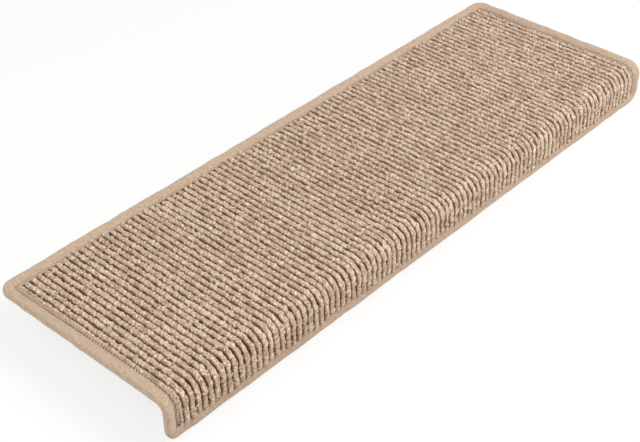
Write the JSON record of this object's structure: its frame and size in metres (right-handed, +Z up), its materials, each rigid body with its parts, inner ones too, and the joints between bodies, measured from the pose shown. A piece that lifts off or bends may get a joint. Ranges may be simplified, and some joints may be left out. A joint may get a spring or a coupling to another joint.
{
  "type": "stair tread mat",
  "caption": "Ribbed loop-pile carpet mat with a tape-bound edge, shaped to lie on a stair tread and turn down over its front edge.",
  "frame": {"origin": "centre of the flat underside that lies on the tread", "axes": "+X along the step, +Y towards the riser behind, +Z up; the nose turns down at -Y"},
  "size_m": [0.65, 0.2079, 0.0425],
  "materials": {
    "carpet": "ribbed loop pile of plied beige yarn, matt",
    "binding_tape": "fine woven tape, matt, sewn with one row of thread"
  },
  "bodies": {
    "root": {"carpet_panel": "carpet", "edge_binding": "binding_tape"}
  },
  "joints": []
}
